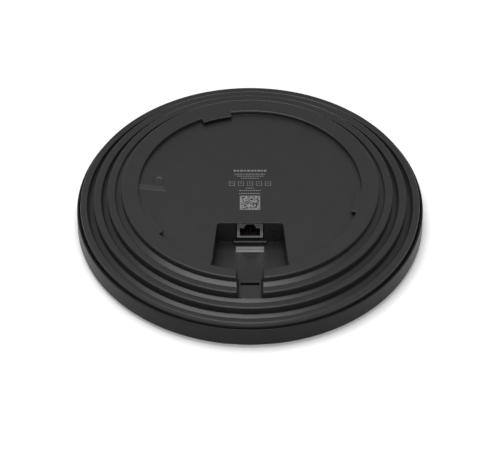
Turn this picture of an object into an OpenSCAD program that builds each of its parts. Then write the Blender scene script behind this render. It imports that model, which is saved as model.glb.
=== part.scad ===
// Ceiling access point, shown with its mounting side up.
// Origin: centre of the mounting plane (the highest flat ring of the rear case).
// +Z points at the ceiling, -Y is the side where the network cable leaves.

/* [Case] */
// Outer diameter of the front cover
cover_d = 215; // [215:1:218]
// Height from the mounting plane to the middle of the front face
total_h = 32.5; // [32.5:0.5:36]
// Height of the rear case that shows above the front cover
seam_drop = 17.2; // [17.1:0.1:17.3]
// Wall thickness of the rear case
wall = 2; // [1.8:0.1:2.2]
// Wall thickness of the front cover
cover_wall = 2.2; // [1.8:0.1:2.4]
// Radius of the edge between the cover's side and its face
cover_edge_r = 3; // [2.5:0.5:5]

/* [Mounting recess] */
// Radius of the round recess that takes the ceiling bracket
recess_r = 69; // [68:0.5:69.5]
// Depth of the recess
recess_depth = 3; // [2.8:0.1:3.2]
// Inner radius of the three twist-lock lugs
lug_r = 65.2; // [64:0.1:66]
// Thickness of a lug
lug_t = 1.2; // [1:0.1:1.4]

/* [Port well] */
// Distance from the centre to the wall that holds the network jack
well_back = 28.8; // [28.8:0.1:29]
// Width of the well at that wall
well_back_w = 40.8; // [38:0.2:42]
// Width of the well at the end nearest the rim
well_near_w = 49.4; // [46:0.2:50]
// Distance from the axis to the wall nearest the rim
well_near_r = 72; // [70:0.5:73]
// Depth of the well below the recess floor
well_depth = 16.7; // [16.6:0.1:16.8]
// Width of the cable channel at its top
channel_w = 16.4; // [15:0.2:17]
// Depth of the channel's floor below the mounting plane
channel_drop = 9.2; // [9:0.1:9.4]

/* [Network jack] */
// Width of the jack's metal shell
jack_w = 16; // [15.6:0.1:16.2]
// Height of the jack's metal shell
jack_h = 12.5; // [12.5:0.1:12.6]
// Length of the jack's metal shell
jack_len = 21.3; // [20:0.1:22]

/* [Main board] */
// Radius of the main board
board_r = 92; // [90:0.5:93]
// Thickness of the main board
board_t = 1.6; // [1.4:0.1:1.6]
// Radius of the circle of board screws
boss_ring_r = 78; // [77.5:0.1:78.5]

/* [Reset button] */
// Distance of the reset pinhole from the jack's middle
reset_x = 15; // [14:0.1:16]
// Radius of the reset plunger
plunger_r = 1.62; // [1.6:0.01:1.66]
// Radius of the bore that guides it
plunger_bore_r = 1.7; // [1.7:0.01:1.72]

/* [Hidden] */

round_fn = 180;
small_fn = 36;
eps = 0.5;             // how far a cutter runs past the face that it cuts
edge = 0.4;            // chamfer on the case's edges

cover_r = cover_d / 2;
recess_z = -recess_depth;
inner_z = recess_z - wall;              // underside of the recess floor
well_z = recess_z - well_depth;         // floor of the well
board_top = -16.1;
board_under = board_top - board_t;
skirt_r = cover_r - 1.9;                // outside of the rear case's skirt
skirt_in_r = skirt_r - 2.4;
skirt_z = -22.4;                        // lower end of the skirt
seal_t = 1.2;
lip_in_r = cover_r - 1.3;
ledge_z = skirt_z - seal_t;             // ledge in the cover that the seal lies on
plate_top = -21.8;                      // antenna plate, upper face
plate_t = 0.8;
plate_under = plate_top - plate_t;

// Heights of the three stepped rings, and the radii where they begin and end
plateau_r = 79.5;
ring_z = [-4.21, -8.67, -13.22];
ring_in_r = [83.5, 92, 100.9];
ring_out_r = [88.2, 96.8, 105.3];

boss_angles = [15, 60, 115, 160, 215, 325];
spreader_posts = [[-60, 10], [60, 10], [-22, 60], [22, 60]];
standoff_r = 66;
standoff_angles = [20, 160, 215, 325];
low_angles = [0, 90, 180];
high_angles = [45, 135, 225, 315];
feed_r = 44;                            // radius where each antenna lead passes the plate
antenna_ring_r = 60;
shields = [[-34, 14, 40, 34], [34, 14, 34, 34], [0, 48, 36, 26]];     // x, y, width, depth
shield_top = board_top + 3.1;
shield_sheet = 0.3;
pin_z = -9.9;                           // height of the reset pinhole
light_y = 80;

function arc(cx, cy, r, a0, a1, n) =
    [for (i = [0:n]) [cx + r * cos(a0 + (a1 - a0) * i / n), cy + r * sin(a0 + (a1 - a0) * i / n)]];

// Outside of the rear case, from the axis outwards
case_outline = [
    [0, recess_z], [recess_r, recess_z], [recess_r, -edge], [recess_r + edge, 0],
    [plateau_r - edge, 0], [plateau_r, -edge], [plateau_r + 0.2, -3.85],
    [ring_in_r[0], -5.35], [ring_in_r[0], ring_z[0] - edge], [ring_in_r[0] + edge, ring_z[0]],
    [ring_out_r[0] - edge, ring_z[0]], [ring_out_r[0], ring_z[0] - edge], [ring_out_r[0] + 0.1, -9.45],
    [ring_in_r[1], -11.05], [ring_in_r[1], ring_z[1] - edge], [ring_in_r[1] + edge, ring_z[1]],
    [ring_out_r[1] - edge, ring_z[1]], [ring_out_r[1], ring_z[1] - edge], [ring_out_r[1], -14.1],
    [ring_in_r[2], -15.8], [ring_in_r[2], ring_z[2] - edge], [ring_in_r[2] + edge, ring_z[2]],
    [ring_out_r[2] - edge, ring_z[2]], [ring_out_r[2], ring_z[2] - edge], [skirt_r, -seam_drop]
];

// Inside of the rear case, from the skirt back to the axis
case_inline = [
    [skirt_r, skirt_z], [skirt_in_r, skirt_z], [skirt_in_r, -17.9], [100.5, -17.9],
    [94.5, -16.2], [94.5, -13.1], [ring_in_r[1], -13.1], [86, -11.7],
    [86, -7.4], [ring_in_r[0], -7.4], [77.4, -5.9], [77.4, -wall],
    [recess_r + wall, -wall], [recess_r + wall, inner_z], [0, inner_z]
];

dome_flat_r = 45;
dome_sag = 1;
dome_edge_r = cover_r - cover_edge_r;
function dome_z(r) =
    -total_h + (r <= dome_flat_r ? 0 : dome_sag * pow((r - dome_flat_r) / (dome_edge_r - dome_flat_r), 2));
dome_radii = [for (i = [0:6]) dome_flat_r + (dome_edge_r - dome_flat_r) * i / 6];
corner_z = dome_z(dome_edge_r) + cover_edge_r;

cover_section = concat(
    [[0, -total_h]],
    [for (r = dome_radii) [r, dome_z(r)]],
    arc(dome_edge_r, corner_z, cover_edge_r, -80, 0, 8),
    [[cover_r, -seam_drop - edge], [cover_r - edge, -seam_drop], [lip_in_r + edge, -seam_drop],
     [lip_in_r, -seam_drop - edge], [lip_in_r, ledge_z], [cover_r - 4.5, ledge_z],
     [cover_r - 4.5, ledge_z - 1.5], [cover_r - cover_wall, ledge_z - 1.5]],
    [[cover_r - cover_wall, corner_z], [dome_edge_r, dome_z(dome_edge_r) + cover_wall]],
    [[dome_flat_r, -total_h + cover_wall], [0, -total_h + cover_wall]]
);

// ---- Shared shapes ----

module block(x, y, z, size) {
    translate([x - size[0] / 2, y - size[1] / 2, z]) cube(size);
}

module around(angles, r) {
    for (a = angles) rotate([0, 0, a]) translate([r, 0, 0]) children();
}

// Solid body of revolution under the rear case's outside
module case_envelope() {
    rotate_extrude($fn = round_fn)
        polygon(concat(case_outline, [[skirt_r, skirt_z], [0, skirt_z]]));
}

// Plan of the port well, grown outwards by a wall thickness
module well_plan(grow, height) {
    back = -well_back + grow;
    near = -well_near_r - 7;
    hb = well_back_w / 2 + grow;
    hn = well_near_w / 2 + grow;
    r = 2;
    intersection() {
        linear_extrude(height)
            polygon(concat(
                [[hn, near]],
                arc(hb - r, back - r, r, 0, 90, 5),
                arc(-hb + r, back - r, r, 90, 180, 5),
                [[-hn, near]]
            ));
        cylinder(r = well_near_r + grow, h = height, $fn = round_fn);
    }
}

module channel_cut() {
    floor_half = (channel_w - 1.7) / 2;
    corner_r = 1.6;
    corner_z = corner_r - channel_drop;
    translate([0, -66, 0]) rotate([90, 0, 0])
        linear_extrude(23.5)
            polygon(concat(
                arc(corner_r - floor_half, corner_z, corner_r, 180, 270, 5),
                arc(floor_half - corner_r, corner_z, corner_r, 270, 360, 5),
                [[channel_w / 2, -edge], [channel_w / 2 + edge, 0], [channel_w / 2 + edge, eps],
                 [-channel_w / 2 - edge, eps], [-channel_w / 2 - edge, 0], [-channel_w / 2, -edge]]
            ));
}

module screw(head_z, head_r, head_h, shank_r, shank_len) {
    difference() {
        union() {
            translate([0, 0, head_z - head_h]) cylinder(r = head_r, h = head_h, $fn = small_fn);
            translate([0, 0, head_z]) cylinder(r = shank_r, h = shank_len, $fn = small_fn);
        }
        for (a = [0, 90])
            rotate([0, 0, a]) block(0, 0, head_z - head_h - eps, [2.6, 0.6, head_h / 2 + eps]);
    }
}

// ---- Housing ----

module rear_case() {
    color("#3a3b3d")
    difference() {
        union() {
            rotate_extrude($fn = round_fn) polygon(concat(case_outline, case_inline));
            translate([0, 0, well_z - wall]) well_plan(wall, well_depth + wall - 0.2);
            intersection() {
                block(0, -78, -channel_drop - wall, [channel_w + 2 * wall, 24, channel_drop + wall]);
                case_envelope();
            }
            intersection() {
                around(boss_angles, boss_ring_r)
                    translate([0, 0, board_top]) cylinder(r = 3.5, h = 15, $fn = small_fn);
                case_envelope();
            }
            twist_lugs();
            locking_rib();
        }
        difference() {
            translate([0, 0, well_z]) well_plan(0, -well_z + eps);
            jack_shelf();
        }
        channel_cut();
        block(0, -75.6, -channel_drop - wall - eps, [11.6, 2.3, wall + 2 * eps]);
        // window for the jack and the board edge under it, with a pocket over the jack
        block(0, -well_back + 1, board_under - 0.2, [jack_w + 1.4, 4.4, -3.5 - board_under + 0.2]);
        block(0, -well_back + jack_len / 2, inner_z - eps, [jack_w + 1.4, jack_len + 1, wall + eps - 0.5]);
        translate([reset_x, -well_back - 1, pin_z]) rotate([-90, 0, 0]) cylinder(r = 0.9, h = 5, $fn = small_fn);
        translate([reset_x, -well_back - 0.1, pin_z - 4]) rotate([-90, 0, 0])
            cylinder(r = 0.7, h = 0.9, $fn = small_fn);
        detent_dish();
        around(boss_angles, boss_ring_r)
            translate([0, 0, board_top - eps]) cylinder(r = 1.5, h = 9, $fn = small_fn);
        rotate_extrude($fn = round_fn)
            translate([skirt_in_r - 0.2, -20.5]) square([1.2, 1.8]);
    }
}

// Three lugs, unevenly spaced so that the bracket fits one way round
module twist_lugs() {
    for (start = [100, 200, -18.75])
        rotate([0, 0, start]) rotate_extrude(angle = 16.25, $fn = round_fn)
            translate([lug_r, -lug_t]) square([recess_r + 1 - lug_r, lug_t]);
}

// Low ramp that the bracket's spring rides over as it twists home
module locking_rib() {
    translate([0, 0, recess_z - 0.4]) linear_extrude(0.9)
        polygon([[-69.5, 5.6], [-53.6, 3.6], [-51.5, -1.1], [-69.5, 1.2]]);
}

// Shallow two-step dish beside the ramp
module detent_dish() {
    translate([-56.8, 9, recess_z - 0.6]) {
        cylinder(r1 = 2.2, r2 = 2.9, h = 0.31, $fn = small_fn);
        translate([0, 0, 0.3]) cylinder(r1 = 3.3, r2 = 4, h = 0.31, $fn = small_fn);
    }
}

// Ledge in front of the board edge, under the jack
module jack_shelf() {
    translate([0, -well_back + eps, well_z - eps]) rotate([90, 0, 0])
        linear_extrude(2.1 + eps)
            polygon([[-10.65, 0], [10.65, 0], [10.65, 2.2], [10.05, 2.3 + eps], [-10.05, 2.3 + eps], [-10.65, 2.2]]);
}

module front_cover() {
    color("#35363a")
    difference() {
        union() {
            rotate_extrude($fn = round_fn) polygon(cover_section);
            for (a = [0:60:300]) rotate([0, 0, a]) snap_hook();
        }
        translate([0, light_y, -total_h - 1]) cylinder(r = 1.9, h = 5, $fn = small_fn);
    }
}

// Hook that rises from the cover's ledge and catches in the skirt's groove
module snap_hook() {
    hook_w = 9;
    translate([0, hook_w / 2, 0]) rotate([90, 0, 0]) linear_extrude(hook_w)
        polygon([
            [skirt_in_r - 2.2, ledge_z - 1.5], [skirt_in_r + 0.2, ledge_z - 1.5],
            [skirt_in_r + 0.2, ledge_z], [skirt_in_r - 0.6, ledge_z], [skirt_in_r - 0.6, -20.3],
            [skirt_in_r + 0.6, -20.3], [skirt_in_r + 0.6, -19.9], [skirt_in_r - 0.6, -18.6],
            [skirt_in_r - 2.2, -18.6]
        ]);
}

module seam_seal() {
    color("#101010")
    rotate_extrude($fn = round_fn)
        translate([skirt_in_r + 0.3, ledge_z]) square([lip_in_r - skirt_in_r - 0.4, seal_t]);
}

// ---- Main board ----

module main_board() {
    notch_w = 54;
    notch_y = -26.3;
    color("#1d3d2a")
    difference() {
        translate([0, 0, board_under]) cylinder(r = board_r, h = board_t, $fn = round_fn);
        difference() {
            block(0, notch_y - 35, board_under - eps, [notch_w, 70, board_t + 2 * eps]);
            block(0, notch_y, board_under - 1, [jack_w + 0.4, 3.4, board_t + 2]);
        }
        around(boss_angles, boss_ring_r)
            translate([0, 0, board_under - eps]) cylinder(r = 1.7, h = board_t + 2 * eps, $fn = small_fn);
        for (p = spreader_posts)
            translate([p[0], p[1], board_under - eps]) cylinder(r = 1.7, h = board_t + 2 * eps, $fn = small_fn);
    }
}

module board_screws() {
    color("silver") around(boss_angles, boss_ring_r) screw(board_under, 2.75, 1.9, 1.45, 9);
}

module heat_spreader() {
    top = inner_z - 0.4;
    under = top - 2.2;
    color("lightgray")
    difference() {
        union() {
            difference() {
                translate([0, 0, under]) cylinder(r = 70, h = top - under, $fn = round_fn);
                block(0, -72, under - eps, [150, 100, top - under + 2 * eps]);
                block(0, -16, under - eps, [jack_w + 3, 20, top - under + 2 * eps]);
                block(reset_x, -20, under - eps, [8, 12, top - under + 2 * eps]);
            }
            for (p = spreader_posts)
                translate([p[0], p[1], board_top]) cylinder(r = 3, h = under - board_top, $fn = small_fn);
            for (s = shields) block(s[0], s[1], shield_top + 0.8, [17, 17, under - shield_top - 0.8]);
        }
        for (p = spreader_posts)
            translate([p[0], p[1], board_top - eps]) cylinder(r = 1.5, h = 7, $fn = small_fn);
    }
}

module spreader_screws() {
    color("silver") for (p = spreader_posts) translate([p[0], p[1], 0]) screw(board_under, 2.75, 1.9, 1.45, 6);
}

module thermal_pads() {
    color("#8fa6b8")
    for (s = shields) {
        block(s[0], s[1], shield_top, [16, 16, 0.8]);
        block(s[0], s[1], board_top + 1.4, [11, 11, 3.1 - 1.4 - shield_sheet]);
    }
}

module shield_frames() {
    color("silver")
    for (s = shields)
        difference() {
            block(s[0], s[1], board_top, [s[2], s[3], 3.1 - shield_sheet]);
            block(s[0], s[1], board_top - eps, [s[2] - 0.6, s[3] - 0.6, 4]);
        }
}

module shield_lids() {
    color("gainsboro")
    for (s = shields)
        difference() {
            block(s[0], s[1], board_top + 1, [s[2] + 0.8, s[3] + 0.8, 2.1]);
            block(s[0], s[1], board_top, [s[2] + 0.2, s[3] + 0.2, 3.1 - shield_sheet]);
        }
}

module processor() {
    color("#202022") block(shields[0][0], shields[0][1], board_top, [17, 17, 1.4]);
}

module memory_chips() {
    color("#202022")
    for (y = [5, 23]) block(shields[0][0] + 14.4, y, board_top, [8, 11, 1]);
}

module flash_chip() {
    color("#202022") block(shields[0][0] - 14.4, 14, board_top, [8, 12, 1]);
}

module radio_chips() {
    color("#202022")
    for (s = [shields[1], shields[2]]) block(s[0], s[1], board_top, [11, 11, 1.4]);
}

module amplifier_chips() {
    color("#202022") {
        for (x = [-9, -3, 3, 9]) block(shields[1][0] + x, shields[1][1] + 12, board_top, [4, 3, 0.9]);
        for (x = [-15, -11, 11, 15]) block(shields[2][0] + x, shields[2][1], board_top, [3, 4, 0.9]);
    }
}

module poe_controller() {
    color("#202022") block(-36, -15, board_top, [7, 7, 1]);
}

module poe_transformer_core() {
    color("#404040")
    difference() {
        block(-46, -39, board_top, [19, 12, 9.8]);
        block(-46, -39, board_top + 2, [13, 13, 5.8]);
    }
}

module poe_transformer_winding() {
    color("#c9a227") block(-46, -39, board_top + 2.1, [12.8, 16, 5.6]);
}

module bulk_capacitors() {
    color("#2b3a55")
    for (p = [[45, -33], [45, -43], [55, -35]])
        translate([p[0], p[1], board_top]) cylinder(r = 4, h = 9.4, $fn = small_fn);
}

module power_inductors() {
    color("#333333")
    for (p = [[38, -56], [-38, -58], [58, -18]]) block(p[0], p[1], board_top, [7, 7, 4]);
}

module bridge_rectifiers() {
    color("#202022")
    for (p = [[-60, -24], [-60, -16]]) block(p[0], p[1], board_top, [6, 5, 1.6]);
}

module board_capacitors() {
    color("#b89b6b") {
        for (x = [-44:4:-28]) block(x, -6, board_top, [1, 2, 0.9]);
        for (x = [20:4:48]) block(x, -7, board_top, [1, 2, 0.9]);
        for (a = [24:8:48]) rotate([0, 0, a]) block(76, 0, board_top, [2, 1, 0.9]);
        for (a = [72:8:96]) rotate([0, 0, a]) block(76, 0, board_top, [2, 1, 0.9]);
    }
}

module crystals() {
    color("silver") {
        block(-6, 26, board_top, [3.2, 2.5, 0.8]);
        block(8, 26, board_top, [3.2, 2.5, 0.8]);
    }
}

module lan_magnetics() {
    color("#242424") block(0, 4, board_top, [16, 14, 5.6]);
}

// ---- Network jack ----

// Stepped outline of the port: the plug's body below, its latch above
module port_outline(grow) {
    polygon([
        [-6.25 - grow, -14.1 - grow], [6.25 + grow, -14.1 - grow], [6.25 + grow, -7.5 + grow],
        [3.55 + grow, -7.5 + grow], [3.55 + grow, -5.7 + grow], [2.6 + grow, -5.7 + grow],
        [2.6 + grow, -4.2], [-2.6 - grow, -4.2], [-2.6 - grow, -5.7 + grow],
        [-3.55 - grow, -5.7 + grow], [-3.55 - grow, -7.5 + grow], [-6.25 - grow, -7.5 + grow]
    ]);
}

module port_cutter(y_from, y_to) {
    translate([0, y_to, 0]) rotate([90, 0, 0]) linear_extrude(y_to - y_from) port_outline(0);
}

module jack_shell() {
    sheet = 0.3;
    mid_y = -well_back + jack_len / 2;
    color("silver")
    difference() {
        block(0, mid_y, board_top, [jack_w, jack_len, jack_h]);
        block(0, mid_y + sheet, board_top + sheet, [jack_w - 2 * sheet, jack_len, jack_h - 2 * sheet]);
        port_cutter(-well_back - eps, -well_back + 1);
        block(0, -well_back, board_top - eps, [jack_w + 1, 1.2, 0.4 + eps]);   // front face stops above the board
    }
}

module jack_insert() {
    gap = 0.4;
    mid_y = -well_back + jack_len / 2;
    color("#1a1a1a")
    difference() {
        block(0, mid_y, board_top + gap, [jack_w - 2 * gap, jack_len - 2 * gap, jack_h - 2 * gap]);
        port_cutter(-well_back, -17);
    }
}

module jack_contacts() {
    pitch = 1.02;
    color("gold")
    for (i = [0:7])
        translate([(i - 3.5) * pitch - 0.22, -26.6, -13.5]) rotate([7, 0, 0]) cube([0.44, 9.2, 0.3]);
}

// ---- Reset switch ----

module reset_switch_body() {
    color("#1c1c1c")
    difference() {
        block(reset_x, -21.5, pin_z - 3, [6, 4, 6]);
        translate([reset_x, -24, pin_z]) rotate([-90, 0, 0]) cylinder(r = plunger_bore_r, h = 3.5, $fn = small_fn);
    }
}

module reset_switch_legs() {
    color("silver")
    for (side = [-1, 1]) block(reset_x + side * 3.2, -21.5, board_top, [0.4, 3.4, 8.4]);
}

module reset_plunger() {
    color("#b8b8b8")
    translate([reset_x, -25.3, pin_z]) rotate([-90, 0, 0]) cylinder(r = plunger_r, h = 3.9, $fn = small_fn);
}

// ---- Status light ----

module status_led() {
    color("#f2e8c0") block(0, light_y, board_under - 1.2, [3.2, 2.8, 1.2]);
}

module light_pipe() {
    front = dome_z(light_y) + 0.1;
    color("#e8eef2")
    translate([0, light_y, front]) {
        cylinder(r = 1.8, h = board_under - 1.6 - front, $fn = small_fn);
        translate([0, 0, cover_wall + 0.3]) cylinder(r = 3, h = 1, $fn = small_fn);
    }
}

// ---- Antennas ----

module antenna_plate() {
    color("lightgray")
    difference() {
        translate([0, 0, plate_under]) cylinder(r = 74, h = plate_t, $fn = round_fn);
        around(standoff_angles, standoff_r)
            translate([0, 0, plate_under - eps]) cylinder(r = 1.6, h = plate_t + 2 * eps, $fn = small_fn);
        around(concat(low_angles, high_angles), feed_r)
            translate([0, 0, plate_under - eps]) cylinder(r = 2.5, h = plate_t + 2 * eps, $fn = small_fn);
    }
}

module plate_standoffs() {
    color("goldenrod")
    around(standoff_angles, standoff_r)
        difference() {
            translate([0, 0, plate_top]) cylinder(r = 2.9, h = board_under - plate_top, $fn = 6);
            translate([0, 0, plate_top - eps]) cylinder(r = 1.5, h = 3.6, $fn = small_fn);
        }
}

module plate_screws() {
    color("silver") around(standoff_angles, standoff_r) screw(plate_under, 2.75, 1.8, 1.45, 3);
}

// Bent metal antenna: a foot on the plate, a wall, and a strip held over the plate
module antenna(width, height) {
    sheet = 0.5;
    top = plate_under - height;
    block(0, 0, top, [sheet, width, height]);
    block(2.8, 0, plate_under - sheet, [6, width * 0.4, sheet]);
    block(-3.8, 0, top, [8, width, sheet]);
}

module low_band_antennas() {
    color("#d9d2b0") around(low_angles, antenna_ring_r) antenna(24, 6.4);
}

module high_band_antennas() {
    color("#d9d2b0") around(high_angles, antenna_ring_r) antenna(12, 4.6);
}

// Coaxial lead: up through the plate from the board, a bend, then out to its antenna
module antenna_lead() {
    lead_r = 0.6;
    bend_r = 2;
    run_z = plate_under - lead_r - 0.1;
    translate([0, 0, run_z + bend_r])
        cylinder(r = lead_r, h = board_under - 1.2 - run_z - bend_r, $fn = small_fn);
    translate([bend_r, 0, run_z + bend_r]) rotate([90, 0, 0]) rotate([0, 0, 180])
        rotate_extrude(angle = 90, $fn = small_fn) translate([bend_r, 0]) circle(r = lead_r, $fn = 24);
    translate([bend_r, 0, run_z]) rotate([0, 90, 0])
        cylinder(r = lead_r, h = antenna_ring_r - feed_r - bend_r - 0.4, $fn = small_fn);
}

module antenna_leads() {
    color("#2a2a2a") around(concat(low_angles, high_angles), feed_r) antenna_lead();
}

module lead_connectors() {
    color("gold")
    around(concat(low_angles, high_angles), feed_r)
        translate([0, 0, board_under - 1.2]) cylinder(r = 1.3, h = 1.2, $fn = small_fn);
}

module well_label() {
    color("#d8d8d8") block(0, -35.05, well_z, [17.3, 4.9, 0.15]);
}

rear_case();
front_cover();
seam_seal();
main_board();
board_screws();
heat_spreader();
spreader_screws();
thermal_pads();
processor();
memory_chips();
flash_chip();
radio_chips();
amplifier_chips();
shield_frames();
shield_lids();
poe_controller();
poe_transformer_core();
poe_transformer_winding();
bulk_capacitors();
power_inductors();
bridge_rectifiers();
board_capacitors();
crystals();
lan_magnetics();
jack_shell();
jack_insert();
jack_contacts();
reset_switch_body();
reset_switch_legs();
reset_plunger();
status_led();
light_pipe();
antenna_plate();
plate_standoffs();
plate_screws();
low_band_antennas();
high_band_antennas();
antenna_leads();
lead_connectors();
well_label();
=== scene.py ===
"""Looks of the ceiling access point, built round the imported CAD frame. All shapes are made in millimetres."""

import math
import random

import bmesh
import bpy
from mathutils import Matrix, Vector


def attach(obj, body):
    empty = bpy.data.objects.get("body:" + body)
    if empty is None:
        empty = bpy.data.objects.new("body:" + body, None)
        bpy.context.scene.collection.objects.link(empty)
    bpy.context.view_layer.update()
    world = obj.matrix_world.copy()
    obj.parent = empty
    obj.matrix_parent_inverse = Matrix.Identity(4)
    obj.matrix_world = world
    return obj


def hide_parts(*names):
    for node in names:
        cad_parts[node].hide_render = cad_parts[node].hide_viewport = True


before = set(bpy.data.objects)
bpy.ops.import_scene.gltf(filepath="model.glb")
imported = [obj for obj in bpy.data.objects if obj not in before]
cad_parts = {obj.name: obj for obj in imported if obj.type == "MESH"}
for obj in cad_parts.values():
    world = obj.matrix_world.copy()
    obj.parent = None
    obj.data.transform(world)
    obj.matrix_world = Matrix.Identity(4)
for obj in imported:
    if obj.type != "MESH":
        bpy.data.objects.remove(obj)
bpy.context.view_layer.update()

HOUSING = "housing"
MM = 0.001
STEP = 1.25                        # degrees between two meridians of a turned shape
EDGE = 0.75                        # rounding of the case's edges
HOLLOW_SHARE = 0.2                 # hollow corners of the case get this share of EDGE
ABOVE = 1.0                        # how far above the mounting plane the cutters reach

# ---------------------------------------------------------------- dimensions
RECESS_R = 69.0
RECESS_Z = -3.0
LUG_R = 65.2
LUG_Z = -1.2
LUGS = ((100.0, 116.25), (200.0, 216.25), (341.25, 357.5))
WELL_Z = -19.7
WELL_BACK = -28.8
WELL_BACK_HALF = 20.4
WELL_SPREAD = 0.0857               # how fast the well widens towards the rim
WELL_NEAR_R = 72.0
WELL_CORNER = 2.5
WELL_RIM_ANGLES = (250.0, 290.0)   # where the well's side walls cross the recess rim
CHANNEL_Z = -9.2
CHANNEL_TOP_HALF = 8.2
CHANNEL_FLOOR_HALF = 7.35
CHANNEL_CORNER = 1.6
CHANNEL_ENDS = (-89.6, -60.0)      # y where the channel's cutter begins and ends
CHANNEL_WALLS = (2.6, 7.4)         # the channel's walls stay between these angles from -Y
SKIRT_R = 105.6
SKIRT_Z = -22.4
COVER_R = 107.5
SEAM_Z = -17.2
TOTAL_Z = -32.5
WALL = 2.0

PLATEAU_R = 79.6
RING_Z = (-4.21, -8.67, -13.22)    # the three stepped rings: height, inner and outer radius
RING_IN_R = (83.5, 92.0, 100.9)
RING_OUT_R = (88.3, 96.9, 105.3)
CASE_PROFILE = (
    (PLATEAU_R, 0.0), (79.75, -3.85),
    (RING_IN_R[0], -5.35), (RING_IN_R[0], RING_Z[0]), (RING_OUT_R[0], RING_Z[0]), (88.35, -9.45),
    (RING_IN_R[1], -11.05), (RING_IN_R[1], RING_Z[1]), (RING_OUT_R[1], RING_Z[1]), (96.9, -14.1),
    (RING_IN_R[2], -15.8), (RING_IN_R[2], RING_Z[2]), (RING_OUT_R[2], RING_Z[2]),
    (SKIRT_R, SEAM_Z), (SKIRT_R, SKIRT_Z),
)
SLOT_Y = -75.6                     # slot across the channel's floor
SLOT_SIZE = (11.6, 2.3, 6.0)
WINDOW_Z = -17.9                   # window for the jack, with a pocket over the jack behind it
WINDOW_SIZE = (17.4, 4.4, 14.4)
POCKET_Z = -6.5
POCKET_SIZE = (17.4, 22.3, 3.0)
PIN_X = 15.0
PIN_Z = -9.9
PIN_R = 0.9
MARK_Z = -13.9                     # small blind hole below the pinhole
MARK_R = 0.7
BOSS_RING_R = 78.0
BOSS_ANGLES = (15, 60, 115, 160, 215, 325)
BOSS_R = 3.5
BOARD_TOP = -16.1
DISH_PLACE = (-56.8, 9.0, 0.0)


# ---------------------------------------------------------------- mesh helpers
def mesh_object(name, bm):
    """Object in the scene with bm's mesh; frees bm."""
    mesh = bpy.data.meshes.new(name)
    bm.to_mesh(mesh)
    bm.free()
    obj = bpy.data.objects.new(name, mesh)
    bpy.context.scene.collection.objects.link(obj)
    return obj


def ring_angles():
    """Meridians in radians. Those the channel's walls would pass close to are left out."""
    inner, outer = CHANNEL_WALLS
    steps = [STEP * i for i in range(round(360 / STEP))]
    return [math.radians(a) for a in steps if not inner < abs(a - 270) < outer]


def turned(name, profile, closed=False, sides=None):
    """Solid of revolution. An open profile gets a flat cap at each end; a closed one is a ring."""
    angles = [2 * math.pi * i / sides for i in range(sides)] if sides else ring_angles()
    bm = bmesh.new()
    rings = [[bm.verts.new((r * math.cos(a), r * math.sin(a), z)) for a in angles] for r, z in profile]
    count = len(rings[0])
    pairs = list(zip(rings, rings[1:]))
    if closed:
        pairs.append((rings[-1], rings[0]))
    for upper, lower in pairs:
        for i in range(count):
            j = (i + 1) % count
            bm.faces.new((upper[i], lower[i], lower[j], upper[j]))
    if not closed:
        bm.faces.new(rings[0])
        bm.faces.new(rings[-1][::-1])
    bmesh.ops.recalc_face_normals(bm, faces=bm.faces[:])
    return mesh_object(name, bm)


def prism(name, outline, z0, z1):
    """Solid between two heights over a plan outline."""
    bm = bmesh.new()
    low = [bm.verts.new((x, y, z0)) for x, y in outline]
    high = [bm.verts.new((x, y, z1)) for x, y in outline]
    bm.faces.new(low[::-1])
    bm.faces.new(high)
    for i in range(len(outline)):
        j = (i + 1) % len(outline)
        bm.faces.new((low[i], low[j], high[j], high[i]))
    bmesh.ops.recalc_face_normals(bm, faces=bm.faces[:])
    return mesh_object(name, bm)


def prism_along_y(name, outline, y0, y1):
    """Solid between two values of y over an outline in x and z."""
    obj = prism(name, outline, y0, y1)
    obj.data.transform(Matrix(((1, 0, 0, 0), (0, 0, 1, 0), (0, 1, 0, 0), (0, 0, 0, 1))))
    obj.data.flip_normals()
    return obj


def box(name, x, y, z, size):
    """Block centred on x and y, standing on z."""
    width, depth, height = size
    x0, x1 = x - width / 2, x + width / 2
    y0, y1 = y - depth / 2, y + depth / 2
    return prism(name, ((x0, y0), (x1, y0), (x1, y1), (x0, y1)), z, z + height)


def rod(name, radius, z0, z1, sides=48):
    """Round bar along z."""
    bm = bmesh.new()
    size = {"radius1": radius, "radius2": radius, "depth": z1 - z0}
    bmesh.ops.create_cone(bm, cap_ends=True, segments=sides, **size)
    bmesh.ops.translate(bm, verts=bm.verts[:], vec=(0, 0, (z0 + z1) / 2))
    return mesh_object(name, bm)


def moved(obj, matrix):
    obj.data.transform(matrix)
    return obj


def baked(obj):
    """Applies the object's modifiers to its mesh."""
    bpy.context.view_layer.update()
    evaluated = obj.evaluated_get(bpy.context.evaluated_depsgraph_get())
    mesh = bpy.data.meshes.new_from_object(evaluated)
    obj.modifiers.clear()
    old = obj.data
    obj.data = mesh
    bpy.data.meshes.remove(old)
    return obj


def combine(target, tool, operation):
    """Boolean of two objects, baked into target; removes tool."""
    modifier = target.modifiers.new("combine", "BOOLEAN")
    modifier.object = tool
    modifier.operation = operation
    modifier.solver = "EXACT"
    baked(target)
    bpy.data.objects.remove(tool)
    return target


def cut(target, *tools):
    for tool in tools:
        combine(target, tool, "DIFFERENCE")
    return target


def joined(target, *others):
    """Adds the others' meshes to target's as further solids of one piece."""
    bm = bmesh.new()
    bm.from_mesh(target.data)
    for other in others:
        bm.from_mesh(other.data)
        bpy.data.objects.remove(other)
    bm.to_mesh(target.data)
    bm.free()
    return target


def tidied(obj, shortest=0.02):
    """Removes the shortest edges, so that a bevel has clean edges to follow."""
    bm = bmesh.new()
    bm.from_mesh(obj.data)
    bmesh.ops.dissolve_degenerate(bm, dist=shortest, edges=bm.edges[:])
    bm.to_mesh(obj.data)
    bm.free()
    return obj


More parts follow.
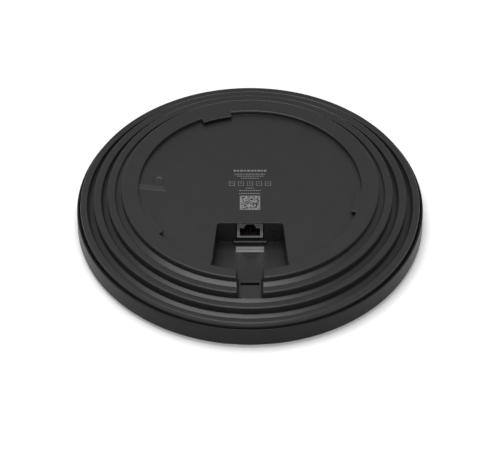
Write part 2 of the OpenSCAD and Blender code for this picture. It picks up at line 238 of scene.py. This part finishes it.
def rounded(obj, width, segments=3, angle=20, hollow=1.0, narrow=None):
    """Rounds every edge sharper than angle, in degrees.

    hollow is the share of the width that hollow corners get, and narrow(middle) the share at a place.
    """
    bm = bmesh.new()
    bm.from_mesh(obj.data)
    layer = bm.edges.layers.float.new("bevel_weight_edge")
    for edge in bm.edges:
        if len(edge.link_faces) == 2 and edge.calc_face_angle(0) > math.radians(angle):
            middle = (edge.verts[0].co + edge.verts[1].co) / 2
            share = 1.0 if edge.is_convex else hollow
            edge[layer] = share * (narrow(middle) if narrow else 1.0)
    bm.to_mesh(obj.data)
    bm.free()
    modifier = obj.modifiers.new("round", "BEVEL")
    modifier.limit_method = "WEIGHT"
    modifier.width = width
    modifier.segments = segments
    modifier.use_clamp_overlap = False
    baked(obj)
    attribute = obj.data.attributes.get("bevel_weight_edge")
    if attribute:
        obj.data.attributes.remove(attribute)
    return obj


def arc(cx, cy, radius, start, end, count):
    """Points along a circle from start to end, in degrees."""
    return [
        (
            cx + radius * math.cos(math.radians(start + (end - start) * i / count)),
            cy + radius * math.sin(math.radians(start + (end - start) * i / count)),
        )
        for i in range(count + 1)
    ]


def finished(obj, material, replaces=(), body=HOUSING, smooth_angle=32):
    """Turns a shape into a piece: metres, smooth shading, its material and body."""
    obj.data.transform(Matrix.Scale(MM, 4))
    obj.data.materials.clear()
    obj.data.materials.append(material)
    for polygon in obj.data.polygons:
        polygon.use_smooth = True
    obj.data.set_sharp_from_angle(angle=math.radians(smooth_angle))
    weighted = obj.modifiers.new("face_weighted_normals", "WEIGHTED_NORMAL")
    weighted.keep_sharp = True
    weighted.weight = 80
    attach(obj, body)
    if replaces:
        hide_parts(*replaces)
    return obj


# ---------------------------------------------------------------- rear case
def recess_cutter():
    """Round recess with the three lugs left standing over its rim. The well's walls cross no meridian."""
    angles = [STEP * i for i in range(round(360 / STEP)) if STEP * i not in WELL_RIM_ANGLES]
    count = len(angles)

    def in_lug(i):
        middle = (angles[i] + STEP / 2) % 360
        return any(lo < middle < hi for lo, hi in LUGS)

    bm = bmesh.new()

    def ring(radius, z):
        turns = [math.radians(a) for a in angles]
        return [bm.verts.new((radius * math.cos(t), radius * math.sin(t), z)) for t in turns]

    floor = ring(RECESS_R, RECESS_Z)
    shoulder_out = ring(RECESS_R, LUG_Z)
    shoulder_in = ring(LUG_R, LUG_Z)
    top_out = ring(RECESS_R, ABOVE)
    top_in = ring(LUG_R, ABOVE)
    outline = []
    for i in range(count):
        j = (i + 1) % count
        bm.faces.new((floor[j], floor[i], shoulder_out[i], shoulder_out[j]))
        covered = in_lug(i)
        before = in_lug(i - 1)
        if covered and not before:
            bm.faces.new((top_out[i], shoulder_out[i], shoulder_in[i], top_in[i]))
            outline.append(top_out[i])
        if before and not covered:
            bm.faces.new((top_in[i], shoulder_in[i], shoulder_out[i], top_out[i]))
            outline.append(top_in[i])
        if covered:
            bm.faces.new((shoulder_out[j], shoulder_out[i], shoulder_in[i], shoulder_in[j]))
            bm.faces.new((shoulder_in[j], shoulder_in[i], top_in[i], top_in[j]))
            outline.append(top_in[i])
        else:
            bm.faces.new((shoulder_out[j], shoulder_out[i], top_out[i], top_out[j]))
            outline.append(top_out[i])
    bm.faces.new(floor[::-1])
    bm.faces.new(outline)
    loose = [v for v in bm.verts if not v.link_faces]
    bmesh.ops.delete(bm, geom=loose, context="VERTS")
    bmesh.ops.recalc_face_normals(bm, faces=bm.faces[:])
    return mesh_object("recess_cutter", bm)


def well_side(radius, grow):
    """Direction in degrees, from +X, in which the well's left wall meets a circle."""
    back = WELL_BACK + grow
    y = -radius
    for _ in range(20):
        x = WELL_BACK_HALF + grow + WELL_SPREAD * (back - y)
        y = -math.sqrt(radius * radius - x * x)
    return 180 + math.degrees(math.atan2(-y, x))


def well_outline(grow=0.0):
    """Plan of the port well: a trapezium with two rounded corners and an arc round the case's axis."""
    corner = WELL_CORNER
    back = WELL_BACK + grow
    half = WELL_BACK_HALF + grow
    radius = WELL_NEAR_R + grow
    points = arc(half - corner, back - corner, corner, 0, 90, 8)
    points += arc(-half + corner, back - corner, corner, 90, 180, 8)
    left = well_side(radius, grow)
    right = 540 - left
    # steps of the arc that stay clear of its two ends and of the cable channel's walls
    between = [STEP * i for i in range(round(360 / STEP))]
    between = [a for a in between if left + 1 < a < right - 1 and a not in (263.75, 276.25)]
    for a in (left, *between, right):
        points.append((radius * math.cos(math.radians(a)), radius * math.sin(math.radians(a))))
    return points


def channel_outline(grow=0.0):
    """Section of the cable channel, in x and z."""
    flare = (CHANNEL_TOP_HALF - CHANNEL_FLOOR_HALF) / -CHANNEL_Z
    half_top = CHANNEL_TOP_HALF + flare * ABOVE + grow
    across = CHANNEL_FLOOR_HALF + grow - CHANNEL_CORNER
    corner_z = CHANNEL_Z - grow + CHANNEL_CORNER
    points = arc(-across, corner_z, CHANNEL_CORNER, 184, 270, 6)
    points += arc(across, corner_z, CHANNEL_CORNER, 270, 356, 6)
    return points + [(half_top, ABOVE), (-half_top, ABOVE)]


def edge_share(p):
    """Share of EDGE that fits where the case has little room for a rounding."""
    r = math.hypot(p.x, p.y)
    near = 0.1
    channel_end = abs(p.x) < CHANNEL_TOP_HALF + 0.4 and -89.3 < p.y < -86.9 and -9.9 < p.z < -9.0
    first_ring_start = abs(r - RING_IN_R[0]) < 0.3 and p.z > RING_Z[0] - 0.39
    under_lug = r < RECESS_R + near and abs(p.z - LUG_Z) < near
    lug_edge = r < RECESS_R - near and p.z > LUG_Z - near
    well_back_edge = p.z > RECESS_Z - near and p.y > WELL_BACK - WELL_CORNER - near and r < 60
    if channel_end:
        return 0.4
    if first_ring_start:
        return 0.55
    if under_lug:
        return 0.25
    if lug_edge:
        return 0.6
    if well_back_edge:
        return 0.2
    return 1.0


def case_cavity():
    """Hollow inside the rear case, round the port well, the channel's trough and the screw bosses."""
    section = (
        (77.4, -WALL), (77.4, -5.9), (RING_IN_R[0], -7.4), (86.0, -7.4), (86.0, -11.7), (RING_IN_R[1], -13.1),
        (94.5, -13.1), (94.5, -16.2), (100.5, -17.9), (103.2, -17.9), (103.2, -24.0),
    )
    recess_wall_r = RECESS_R + WALL
    cavity = turned("cavity", section)
    cut(cavity, turned("rim", ((recess_wall_r, 0.0), (recess_wall_r, RECESS_Z - WALL))))
    cut(cavity, prism("tub", well_outline(WALL), WELL_Z - WALL, ABOVE))
    cut(cavity, prism_along_y("trough", channel_outline(WALL), -92.0, CHANNEL_ENDS[1]))
    for angle in BOSS_ANGLES:
        turn = Matrix.Rotation(math.radians(angle), 4, "Z") @ Matrix.Translation((BOSS_RING_R, 0, 0))
        boss = rod("boss", BOSS_R, BOARD_TOP, ABOVE)
        cut(boss, rod("bore", 1.5, BOARD_TOP - 0.9, BOARD_TOP + 8.5, 32))
        cut(cavity, moved(boss, turn))
    return cavity


def locking_ramp():
    """Low ramp that the bracket's spring rides over."""
    outline = ((-69.5, 5.6), (-53.6, 3.6), (-51.5, -1.1), (-69.5, 1.2))
    middle_y, slope = 2.3, math.radians(5)
    ramp = prism("ramp", outline, RECESS_Z - 0.4, RECESS_Z + 0.38)
    tilt = Matrix.Translation((0, middle_y, RECESS_Z)) @ Matrix.Rotation(slope, 4, "X")
    moved(ramp, tilt @ Matrix.Translation((0, -middle_y, -RECESS_Z)))
    return rounded(ramp, 0.22, 3)


def jack_shelf():
    """Ledge in front of the board's edge, under the jack."""
    half = 10.65
    front, back = WELL_BACK - 2.1, WELL_BACK + 0.4
    outline = ((-half, front), (half, front), (half, back), (-half, back))
    shelf = prism("shelf", outline, WELL_Z - 0.3, WELL_Z + 2.3)
    return rounded(shelf, 0.8, 4)


def detent_dish():
    """Two shallow round steps down."""
    section = ((4.4, -2.7), (3.4, -3.35), (2.9, -3.35), (2.3, -3.7))
    dish = turned("dish", section, sides=64)
    return moved(dish, Matrix.Translation(DISH_PLACE))


def facing_well(x, z):
    """Places a shape made along z so that it points out of the well's back wall."""
    return Matrix.Translation((x, WELL_BACK, z)) @ Matrix.Rotation(math.radians(90), 4, "X")


def pin_collar():
    """Thin raised ring round the reset pinhole."""
    inner, outer = PIN_R + 0.02, PIN_R + 0.45
    section = (
        (inner, -0.2), (inner, 0.15), (inner + 0.08, 0.25), (outer - 0.1, 0.25), (outer, 0.15), (outer, -0.2),
    )
    return moved(turned("collar", section, True, 32), facing_well(PIN_X, PIN_Z))


def make_rear_case(material):
    """Turned body, cut and rounded while it is solid, then opened and hollowed out."""
    case = turned("rear_case_skin", CASE_PROFILE)
    cut(case, recess_cutter())
    cut(case, prism("well_cutter", well_outline(), WELL_Z, ABOVE))
    cut(case, prism_along_y("channel_cutter", channel_outline(), *CHANNEL_ENDS))
    tidied(case)
    rounded(case, EDGE, 4, 20, HOLLOW_SHARE, edge_share)
    cut(case, box("slot", 0, SLOT_Y, CHANNEL_Z - 4, SLOT_SIZE))
    cut(case, box("window", 0, WELL_BACK + 1, WINDOW_Z, WINDOW_SIZE))
    cut(case, box("pocket", 0, WELL_BACK + 10.6, POCKET_Z, POCKET_SIZE))
    cut(case, moved(rod("pinhole", PIN_R, -4, 1.5, 32), facing_well(PIN_X, PIN_Z)))
    cut(case, moved(rod("mark", MARK_R, -0.8, 0.8, 24), facing_well(PIN_X, MARK_Z)))
    cut(case, detent_dish())
    cut(case, case_cavity())
    joined(case, jack_shelf(), locking_ramp(), pin_collar())
    return finished(case, material, ["rear_case"])


# ---------------------------------------------------------------- front cover and seal
FLAT_R = 45.0
SAG = 1.0
CORNER_R = 3.0
CORNER_X = COVER_R - CORNER_R
COVER_WALL = 2.2
COVER_IN_R = COVER_R - COVER_WALL
LIP_R = 106.2
LEDGE_R = 103.0
LEDGE_Z = -23.6
LEDGE_T = 1.5
LIGHT_Y = 80.0
LIGHT_R = 1.9
HOOK_HALF = 4.5
HOOK_TURN = 60


def dome_z(r):
    """Height of the front face, which falls away outside its flat middle."""
    return TOTAL_Z + (0 if r <= FLAT_R else SAG * ((r - FLAT_R) / (CORNER_X - FLAT_R)) ** 2)


def cover_section():
    """Half section of the front cover, from its outer face round to its inner one."""
    corner_z = dome_z(CORNER_X) + CORNER_R
    outer_round, inner_round = 0.45, 0.25
    section = [(r, dome_z(r)) for r in (15.0, 30.0, FLAT_R, 55.0, 65.0, 75.0, 85.0, 95.0)]
    section += arc(CORNER_X, corner_z, CORNER_R, -88, 0, 14)
    section += arc(COVER_R - outer_round, SEAM_Z - outer_round, outer_round, 0, 90, 5)
    section += arc(LIP_R + inner_round, SEAM_Z - inner_round, inner_round, 90, 180, 4)
    return section + [
        (LIP_R, LEDGE_Z), (LEDGE_R, LEDGE_Z), (LEDGE_R, LEDGE_Z - LEDGE_T), (COVER_IN_R, LEDGE_Z - LEDGE_T),
        (COVER_IN_R, corner_z), (CORNER_X, dome_z(CORNER_X) + COVER_WALL), (FLAT_R, TOTAL_Z + COVER_WALL),
    ]


def snap_hook(turn):
    """Hook that grips the rear case's skirt, turned round the axis."""
    outline = (
        (101.0, -25.1), (103.4, -25.1), (103.4, -23.6), (102.6, -23.6), (102.6, -20.3),
        (103.8, -20.3), (103.8, -19.9), (102.6, -18.6), (101.0, -18.6),
    )
    hook = rounded(prism_along_y("hook", outline, -HOOK_HALF, HOOK_HALF), 0.15, 2)
    return moved(hook, Matrix.Rotation(math.radians(turn), 4, "Z"))


def make_front_cover(material):
    cover = turned("front_cover_skin", cover_section())
    hole = rod("light_hole", LIGHT_R, TOTAL_Z - 1, TOTAL_Z + 4)
    cut(cover, moved(hole, Matrix.Translation((0, LIGHT_Y, 0))))
    joined(cover, *[snap_hook(turn) for turn in range(0, 360, HOOK_TURN)])
    return finished(cover, material, ["front_cover"])


def make_seal(material):
    section = (
        (103.6, -23.55), (105.9, -23.55), (106.1, -23.3), (106.1, -22.65), (105.9, SKIRT_Z), (103.6, SKIRT_Z),
    )
    ring = turned("seam_seal_ring", section, closed=True)
    return finished(ring, material, ["seam_seal"])


# ---------------------------------------------------------------- prints
LINES_OVER_MARKS = (               # half length, y, height, shortest bar, longest bar, gap
    (10.2, 17.7, 1.3, 1.1, 2.6, 0.55),
    (10.0, 14.6, 0.65, 0.5, 1.5, 0.45),
    (8.3, 12.8, 0.55, 0.5, 1.5, 0.45),
    (5.7, 10.9, 0.5, 0.5, 1.5, 0.45),
)
LINES_UNDER_MARKS = (
    (2.6, 2.1, 0.5, 0.5, 1.3, 0.4),
    (6.7, -0.1, 0.6, 0.5, 1.3, 0.4),
    (6.7, -2.7, 0.6, 0.5, 1.3, 0.4),
)
MARK_COUNT = 5
MARK_PITCH = 5.6
MARK_Y = 6.1
MARK_SIZE = 3.6
MARK_LINE = 0.24
CELL_COUNT = 17
CELL_FIELD = 11.5                  # side of the field of random cells
CELL_FIELD_Y = -11.0
CELL_BORDER = 0.5
CELL_SHARE = 0.58                  # share of the cells that are printed
LABEL_HALF = 8.65
LABEL_THICK = 0.15
LABEL_BARS = ((-34.85, -32.9), (-37.65, -35.4))
LABEL_GAP = (-35.27, -35.0)


def ink(bm, x0, x1, y0, y1, z, thick=0.02):
    """One printed patch lying on z."""
    corners = ((x0, y0), (x1, y0), (x1, y1), (x0, y1))
    low = [bm.verts.new((x, y, z)) for x, y in corners]
    high = [bm.verts.new((x, y, z + thick)) for x, y in corners]
    bm.faces.new(low[::-1])
    bm.faces.new(high)
    for i in range(4):
        j = (i + 1) % 4
        bm.faces.new((low[i], low[j], high[j], high[i]))


def dashes(bm, rng, half, y, height, shortest, longest, gap):
    """Line of short bars that stands for a line of print without saying anything."""
    x = -half
    while x < half:
        end = min(x + rng.uniform(shortest, longest), half)
        if end - x > shortest / 2:
            ink(bm, x, end, y - height / 2, y + height / 2, RECESS_Z)
        x = end + gap


def frame_mark(bm, x, y, size, line):
    """Outlined square with a bar in it."""
    half = size / 2
    ink(bm, x - half, x + half, y + half - line, y + half, RECESS_Z)
    ink(bm, x - half, x + half, y - half, y - half + line, RECESS_Z)
    ink(bm, x - half, x - half + line, y - half + line, y + half - line, RECESS_Z)
    ink(bm, x + half - line, x + half, y - half + line, y + half - line, RECESS_Z)
    ink(bm, x - half * 0.4, x + half * 0.4, y - line / 2, y + line / 2, RECESS_Z)


def cell_field(bm, rng):
    """Square of random cells in a border. It encodes nothing."""
    pitch = CELL_FIELD / CELL_COUNT
    half = CELL_FIELD / 2
    outer = half + CELL_BORDER
    low, high = CELL_FIELD_Y - half, CELL_FIELD_Y + half
    ink(bm, -outer, outer, high, high + CELL_BORDER, RECESS_Z)
    ink(bm, -outer, outer, low - CELL_BORDER, low, RECESS_Z)
    ink(bm, -outer, -half, low, high, RECESS_Z)
    ink(bm, half, outer, low, high, RECESS_Z)
    for row in range(CELL_COUNT):
        for column in range(CELL_COUNT):
            if rng.random() < CELL_SHARE:
                x = -half + column * pitch
                y = low + row * pitch
                ink(bm, x, x + pitch, y, y + pitch, RECESS_Z)


def make_recess_print(material):
    rng = random.Random(7)
    bm = bmesh.new()
    for line in LINES_OVER_MARKS:
        dashes(bm, rng, *line)
    for i in range(MARK_COUNT):
        frame_mark(bm, MARK_PITCH * (i - (MARK_COUNT - 1) / 2), MARK_Y, MARK_SIZE, MARK_LINE)
    for line in LINES_UNDER_MARKS:
        dashes(bm, rng, *line)
    cell_field(bm, rng)
    return finished(mesh_object("recess_print", bm), material)


def make_well_label(material):
    """Film with a row of fine slots between its two halves."""
    bm = bmesh.new()
    for y0, y1 in LABEL_BARS:
        ink(bm, -LABEL_HALF, LABEL_HALF, y0, y1, WELL_Z, LABEL_THICK)
    rng = random.Random(3)
    x = -LABEL_HALF
    while x < LABEL_HALF - 0.3:
        end = min(x + rng.uniform(0.25, 0.6), LABEL_HALF)
        ink(bm, x, end, *LABEL_GAP, WELL_Z, LABEL_THICK * 0.6)
        x = end + rng.uniform(0.3, 0.7)
    return finished(mesh_object("well_label_film", bm), material, ["well_label"])


# ---------------------------------------------------------------- materials
DRIFT = 14.0                       # size in millimetres of the slow changes in tone


def surface(name, colour, rough, metallic=0.0, specular=0.5, tone=0.08, grain=0.35, relief=0.004, bands=0.05):
    """Procedural finish: tone drifts slowly by a share, and a fine grain varies roughness and relief.

    grain and relief are in millimetres; bands is how far the roughness goes either side of rough.
    """
    material = bpy.data.materials.new(name)
    material.use_nodes = True
    tree = material.node_tree
    shader = tree.nodes["Principled BSDF"]
    shader.inputs["Metallic"].default_value = metallic
    shader.inputs["Specular IOR Level"].default_value = specular
    where = tree.nodes.new("ShaderNodeTexCoord")

    def noise(size, detail):
        node = tree.nodes.new("ShaderNodeTexNoise")
        node.inputs["Scale"].default_value = 1 / (size * MM)
        node.inputs["Detail"].default_value = detail
        tree.links.new(where.outputs["Object"], node.inputs["Vector"])
        return node.outputs["Fac"]

    def mapped(value, low, high):
        node = tree.nodes.new("ShaderNodeMapRange")
        node.inputs["From Min"].default_value = 0.3
        node.inputs["From Max"].default_value = 0.7
        node.inputs["To Min"].default_value = low
        node.inputs["To Max"].default_value = high
        tree.links.new(value, node.inputs["Value"])
        return node.outputs["Result"]

    drift = noise(DRIFT, 2.0)
    fine = noise(grain, 3.0)
    blend = tree.nodes.new("ShaderNodeMix")
    blend.data_type = "RGBA"
    blend.inputs["A"].default_value = (*[c * (1 - tone) for c in colour], 1)
    blend.inputs["B"].default_value = (*[min(1, c * (1 + tone)) for c in colour], 1)
    tree.links.new(mapped(drift, 0.0, 1.0), blend.inputs["Factor"])
    tree.links.new(blend.outputs["Result"], shader.inputs["Base Color"])
    tree.links.new(mapped(fine, rough - bands, rough + bands), shader.inputs["Roughness"])
    bump = tree.nodes.new("ShaderNodeBump")
    bump.inputs["Strength"].default_value = 1.0
    bump.inputs["Distance"].default_value = relief * MM
    tree.links.new(fine, bump.inputs["Height"])
    tree.links.new(bump.outputs["Normal"], shader.inputs["Normal"])
    return material


def grey(value):
    return (value, value, value)


FINISHES = {
    "case_plastic": dict(colour=grey(0.0105), rough=0.35, specular=0.28),
    # Same dark plastic as the case, painted darker: painted shade that holds down the light the floor throws on
    # the cover's side wall.
    "cover_plastic": dict(colour=grey(0.003), rough=0.4, specular=0.16),
    "seal_rubber": dict(colour=grey(0.006), rough=0.8, specular=0.25),
    "board_laminate": dict(colour=(0.006, 0.012, 0.008), rough=0.35, tone=0.25, relief=0.01),
    "screw_steel": dict(colour=(0.55, 0.55, 0.56), rough=0.32, metallic=1.0),
    "spreader_aluminium": dict(colour=(0.6, 0.61, 0.62), rough=0.5, metallic=1.0, relief=0.01),
    "plate_aluminium": dict(colour=(0.66, 0.67, 0.68), rough=0.3, metallic=1.0),
    "pad_silicone": dict(colour=(0.25, 0.33, 0.4), rough=0.75),
    "chip_resin": dict(colour=grey(0.012), rough=0.6, relief=0.008),
    "shield_tin": dict(colour=(0.55, 0.55, 0.53), rough=0.28, metallic=1.0),
    "ferrite": dict(colour=grey(0.02), rough=0.7, relief=0.012),
    "winding_tape": dict(colour=(0.55, 0.36, 0.03), rough=0.3),
    "capacitor_sleeve": dict(colour=(0.012, 0.025, 0.06), rough=0.3),
    "capacitor_ceramic": dict(colour=(0.38, 0.24, 0.12), rough=0.45),
    "jack_metal": dict(colour=grey(0.66), rough=0.22, metallic=1.0, relief=0.001),
    "jack_plastic": dict(colour=grey(0.003), rough=0.5, specular=0.2),
    "contact_gold": dict(colour=(0.9, 0.8, 0.62), rough=0.25, metallic=1.0, relief=0.001),
    "switch_plastic": dict(colour=grey(0.01), rough=0.5),
    "plunger_plastic": dict(colour=grey(0.03), rough=0.45),
    "led_resin": dict(colour=(0.8, 0.72, 0.45), rough=0.3),
    "light_pipe_clear": dict(colour=(0.8, 0.83, 0.85), rough=0.15),
    "standoff_brass": dict(colour=(0.6, 0.45, 0.2), rough=0.35, metallic=1.0),
    "antenna_metal": dict(colour=(0.62, 0.6, 0.55), rough=0.3, metallic=1.0),
    "lead_jacket": dict(colour=grey(0.02), rough=0.4),
    "label_film": dict(colour=grey(0.125), rough=0.5, specular=0.3),
}
NODE_SLOTS = {
    "board_laminate": ["main_board"],
    "screw_steel": ["board_screws", "spreader_screws", "plate_screws"],
    "spreader_aluminium": ["heat_spreader"],
    "plate_aluminium": ["antenna_plate"],
    "pad_silicone": ["thermal_pads"],
    "chip_resin": [
        "processor", "memory_chips", "flash_chip", "radio_chips", "amplifier_chips", "poe_controller",
        "bridge_rectifiers", "lan_magnetics",
    ],
    "shield_tin": ["shield_frames", "shield_lids", "crystals"],
    "ferrite": ["poe_transformer_core", "power_inductors"],
    "winding_tape": ["poe_transformer_winding"],
    "capacitor_sleeve": ["bulk_capacitors"],
    "capacitor_ceramic": ["board_capacitors"],
    "jack_metal": ["jack_shell"],
    "jack_plastic": ["jack_insert"],
    "contact_gold": ["jack_contacts", "reset_switch_legs", "lead_connectors"],
    "switch_plastic": ["reset_switch_body"],
    "plunger_plastic": ["reset_plunger"],
    "led_resin": ["status_led"],
    "light_pipe_clear": ["light_pipe"],
    "standoff_brass": ["plate_standoffs"],
    "antenna_metal": ["low_band_antennas", "high_band_antennas"],
    "lead_jacket": ["antenna_leads"],
}

LOOKS = {slot: surface(slot + "_look", **finish) for slot, finish in FINISHES.items()}


def soften_contacts():
    """Small rounding on the jack's contacts, whose ends show as points of light in the port."""
    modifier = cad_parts["jack_contacts"].modifiers.new("round", "BEVEL")
    modifier.width = 0.08 * MM
    modifier.segments = 2


def dress_nodes():
    """Gives every CAD node that stays visible its material."""
    for slot, names in NODE_SLOTS.items():
        for name in names:
            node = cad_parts[name]
            node.data.materials.clear()
            node.data.materials.append(LOOKS[slot])


# ---------------------------------------------------------------- studio
ELEVATION = math.radians(43.875)
CAMERA_DISTANCE = 2.8828
CAMERA_DROP = 0.02356              # how far below the mounting face's centre the camera aims
LENS = 335.1
FLOOR_HALF = 4.0
FLOOR_GAP = 0.00005                # keeps the floor's face clear of the cover's
KEY_DIRECTION = Vector((-0.1, 0.09, 0.985)).normalized()
KEY_DISTANCE = 1.8
KEY_SIZE = 1.4
KEY_RADIANCE = 7.3
FILL_DIRECTION = Vector((0.0, -0.9, 0.45)).normalized()
FILL_DISTANCE = 1.5
FILL_SIZE = 1.2
FILL_RADIANCE = 3.2
SKY = 0.54
FLOOR_GLOW = 0.08


def make_camera():
    data = bpy.data.cameras.new("camera")
    camera = bpy.data.objects.new("camera", data)
    bpy.context.scene.collection.objects.link(camera)
    bpy.context.scene.camera = camera
    data.sensor_width = 36
    data.lens = LENS
    data.clip_start = 0.1
    data.clip_end = 20
    across = Vector((0, math.sin(ELEVATION), math.cos(ELEVATION)))
    camera.location = (0, -CAMERA_DISTANCE * math.cos(ELEVATION), CAMERA_DISTANCE * math.sin(ELEVATION))
    aim = -CAMERA_DROP * across
    camera.rotation_euler = (aim - camera.location).to_track_quat("-Z", "Y").to_euler()


def softbox(name, direction, distance, size, radiance):
    """Round area light that faces the object; radiance is what a mirror there would show."""
    data = bpy.data.lights.new(name, "AREA")
    data.shape = "DISK"
    data.size = size
    data.energy = radiance * math.pi * math.pi * (size / 2) ** 2
    light = bpy.data.objects.new(name, data)
    bpy.context.scene.collection.objects.link(light)
    light.location = direction * distance
    light.rotation_euler = direction.to_track_quat("Z", "Y").to_euler()
    return light


def make_floor():
    bm = bmesh.new()
    bmesh.ops.create_grid(bm, x_segments=8, y_segments=8, size=FLOOR_HALF)
    bmesh.ops.translate(bm, verts=bm.verts[:], vec=(0, 0, TOTAL_Z * MM - FLOOR_GAP))
    floor = mesh_object("floor", bm)
    look = surface("floor_look", grey(0.7), 0.6, specular=0.2, tone=0.01, grain=2.0, relief=0.001)
    shader = look.node_tree.nodes["Principled BSDF"]
    shader.inputs["Emission Color"].default_value = (1, 1, 1, 1)
    shader.inputs["Emission Strength"].default_value = FLOOR_GLOW
    floor.data.materials.append(look)
    return floor


def make_world():
    world = bpy.data.worlds.new("studio")
    bpy.context.scene.world = world
    world.use_nodes = True
    world.node_tree.nodes["Background"].inputs["Color"].default_value = (*grey(SKY), 1)


# ---------------------------------------------------------------- the whole object
make_rear_case(LOOKS["case_plastic"])
make_front_cover(LOOKS["cover_plastic"])
make_seal(LOOKS["seal_rubber"])
make_recess_print(LOOKS["label_film"])
make_well_label(LOOKS["label_film"])
dress_nodes()
soften_contacts()
make_camera()
make_floor()
make_world()
softbox("key", KEY_DIRECTION, KEY_DISTANCE, KEY_SIZE, KEY_RADIANCE)
softbox("fill", FILL_DIRECTION, FILL_DISTANCE, FILL_SIZE, FILL_RADIANCE)
bpy.context.scene.view_settings.view_transform = "Standard"
